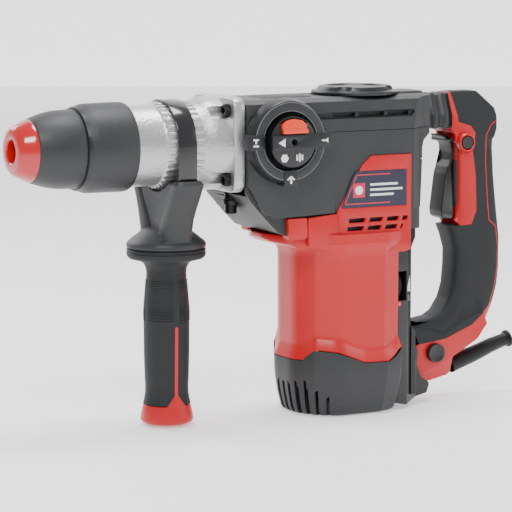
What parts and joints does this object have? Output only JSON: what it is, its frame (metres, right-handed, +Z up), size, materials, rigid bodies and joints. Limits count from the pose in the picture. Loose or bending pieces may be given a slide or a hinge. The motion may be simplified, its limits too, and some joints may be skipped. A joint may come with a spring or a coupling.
{
  "type": "rotary hammer",
  "caption": "L-shaped SDS-max rotary hammer with upright motor, D-shaped rear handle, swivelling side handle and working hammer mechanism inside.",
  "frame": {"origin": "centre of the flat foot under the upright motor, on the motor's axis", "axes": "+Z up along the motor's axis; the tool axis runs along X and the bit points to -X; Y = 0 is the plane through both axes, and the mode dial is on the -Y side"},
  "size_m": [0.46, 0.1083, 0.267],
  "materials": {
    "red_cap": "glossy red plastic",
    "red_plastic": "satin red glass-filled plastic",
    "black_plastic": "fine-textured charcoal plastic",
    "dial_plastic": "satin black plastic",
    "orange_button": "glossy orange-red plastic",
    "soft_grip": "soft black overmould",
    "rubber": "satin black rubber",
    "nose_aluminium": "bead-blasted die casting",
    "black_steel": "black oxide steel",
    "hard_steel": "ground hardened steel",
    "light_alloy": "machined aluminium alloy",
    "lamination": "stacked electrical steel",
    "copper": "enamelled copper",
    "carbon": "carbon brush",
    "label": "printed dark label, no wording"
  },
  "bodies": {
    "housing": {"gearbox_nose": "nose_aluminium", "flange_screws": "black_steel", "spindle_bearing": "hard_steel", "gear_housing": "black_plastic", "top_cover": "black_plastic", "grease_cap": "black_plastic", "mode_bezel": "black_plastic", "motor_housing": "red_plastic", "label_plate": "label", "foot_cap": "black_plastic", "rear_cover": "black_plastic", "chin_bolt": "black_steel", "bellows": "rubber", "crank_bearing": "hard_steel", "motor_bearing_upper": "hard_steel", "motor_bearing_lower": "hard_steel", "stator_core": "lamination", "field_coils": "copper", "brush_holder_left": "black_plastic", "brush_holder_right": "black_plastic", "carbon_brush_left": "carbon", "carbon_brush_right": "carbon"},
    "spindle": {"tool_holder": "hard_steel", "chuck_front_sleeve": "black_plastic", "dust_cap": "red_cap", "hammer_cylinder": "hard_steel", "bevel_ring_gear": "hard_steel", "sleeve_spring": "hard_steel"},
    "sleeve": {"locking_sleeve": "black_plastic"},
    "jaw_upper": {"locking_jaw_upper": "hard_steel"},
    "jaw_lower": {"locking_jaw_lower": "hard_steel"},
    "impact_bolt": {"impact_bolt": "hard_steel"},
    "striker": {"striker": "hard_steel"},
    "piston": {"piston": "light_alloy", "wrist_pin": "hard_steel"},
    "connecting_rod": {"connecting_rod": "light_alloy"},
    "crank": {"crank_shaft": "hard_steel", "crank_gear": "hard_steel"},
    "relay": {"relay_gear": "hard_steel", "relay_shaft": "hard_steel"},
    "armature": {"armature_shaft": "hard_steel", "armature_core": "lamination", "armature_windings": "copper", "commutator": "copper", "cooling_fan": "black_plastic"},
    "mode_dial": {"mode_dial": "dial_plastic"},
    "mode_lock": {"mode_lock_button": "orange_button"},
    "speed_wheel": {"speed_wheel": "soft_grip"},
    "rear_handle": {"handle_frame": "red_plastic", "handle_overmould": "soft_grip", "switch_module": "black_plastic", "handle_pivot_pin": "black_steel", "cord_boot": "rubber"},
    "trigger": {"trigger": "black_plastic"},
    "lock_on_button": {"lock_on_button": "black_plastic"},
    "side_handle": {"strap_band": "black_steel", "handle_saddle": "black_plastic", "strap_bolt": "black_steel"},
    "side_grip": {"side_grip": "soft_grip", "grip_end_cap": "red_cap"}
  },
  "joints": [
    {"name": "armature_spin", "type": "hinge", "parent": "housing", "child": "armature", "pos_m": [0, 0, 0.08], "axis": [0, 0, 1], "continuous": true},
    {"name": "spindle_spin", "type": "hinge", "parent": "housing", "child": "spindle", "pos_m": [-0.12, 0, 0.225], "axis": [1, 0, 0], "continuous": true},
    {"name": "relay_spin", "type": "hinge", "parent": "housing", "child": "relay", "pos_m": [-0.032, 0, 0.17], "axis": [0, 0, 1], "continuous": true},
    {"name": "crank_spin", "type": "hinge", "parent": "housing", "child": "crank", "pos_m": [0.03, 0, 0.17], "axis": [0, 0, 1], "continuous": true},
    {"name": "sleeve_slide", "type": "slide", "parent": "spindle", "child": "sleeve", "axis": [1, 0, 0], "range_m": [0, 0.011], "stiffness_N_per_m": 1500, "springref_m": -0.006, "deforming": ["sleeve_spring"]},
    {"name": "jaw_upper_slide", "type": "slide", "parent": "spindle", "child": "jaw_upper", "axis": [0, 0, 1], "range_m": [0, 0.0022]},
    {"name": "jaw_lower_slide", "type": "slide", "parent": "spindle", "child": "jaw_lower", "axis": [0, 0, -1], "range_m": [0, 0.0022]},
    {"name": "impact_bolt_slide", "type": "slide", "parent": "spindle", "child": "impact_bolt", "axis": [-1, 0, 0], "range_m": [0, 0.002]},
    {"name": "striker_slide", "type": "slide", "parent": "spindle", "child": "striker", "axis": [-1, 0, 0], "range_m": [-0.008, 0.012]},
    {"name": "piston_slide", "type": "slide", "parent": "housing", "child": "piston", "axis": [-1, 0, 0], "range_m": [0, 0.028]},
    {"name": "connecting_rod_swing", "type": "hinge", "parent": "piston", "child": "connecting_rod", "pos_m": [-0.016, 0, 0.225], "axis": [0, 0, 1], "range_deg": [-13, 13]},
    {"name": "mode_dial_turn", "type": "hinge", "parent": "housing", "child": "mode_dial", "pos_m": [-0.071, -0.055, 0.228], "axis": [0, -1, 0], "range_deg": [0, 180]},
    {"name": "mode_lock_press", "type": "slide", "parent": "mode_dial", "child": "mode_lock", "axis": [0, 1, 0], "range_m": [0, 0.0025], "stiffness_N_per_m": 1500, "springref_m": -0.001},
    {"name": "speed_wheel_turn", "type": "hinge", "parent": "housing", "child": "speed_wheel", "pos_m": [0.043, -0.02, 0.1025], "axis": [1, 0, 0], "range_deg": [-135, 135]},
    {"name": "handle_flex", "type": "hinge", "parent": "housing", "child": "rear_handle", "pos_m": [0.0874, 0, 0.041], "axis": [0, -1, 0], "range_deg": [0, 2], "stiffness_Nm_per_rad": 900, "springref_deg": -0.57, "deforming": ["bellows"]},
    {"name": "trigger_pull", "type": "hinge", "parent": "rear_handle", "child": "trigger", "pos_m": [0.103, 0, 0.219], "axis": [0, -1, 0], "range_deg": [0, 6], "stiffness_Nm_per_rad": 3, "springref_deg": -5.73},
    {"name": "lock_on_press", "type": "slide", "parent": "rear_handle", "child": "lock_on_button", "axis": [0, 1, 0], "range_m": [0, 0.003], "stiffness_N_per_m": 800, "springref_m": -0.001},
    {"name": "side_handle_swivel", "type": "hinge", "parent": "housing", "child": "side_handle", "pos_m": [-0.155, 0, 0.225], "axis": [1, 0, 0], "continuous": true},
    {"name": "side_grip_twist", "type": "hinge", "parent": "side_handle", "child": "side_grip", "pos_m": [-0.155, 0, 0.08], "axis": [0, 0, 1], "continuous": true}
  ],
  "couplings": [
    {"joint": "crank_spin", "follows": "armature_spin", "ratio": -0.2},
    {"joint": "relay_spin", "follows": "armature_spin", "ratio": -0.18519},
    {"joint": "spindle_spin", "follows": "armature_spin", "ratio": 0.055556},
    {"joint": "jaw_upper_slide", "follows": "sleeve_slide", "ratio": 0.2},
    {"joint": "jaw_lower_slide", "follows": "sleeve_slide", "ratio": 0.2}
  ]
}
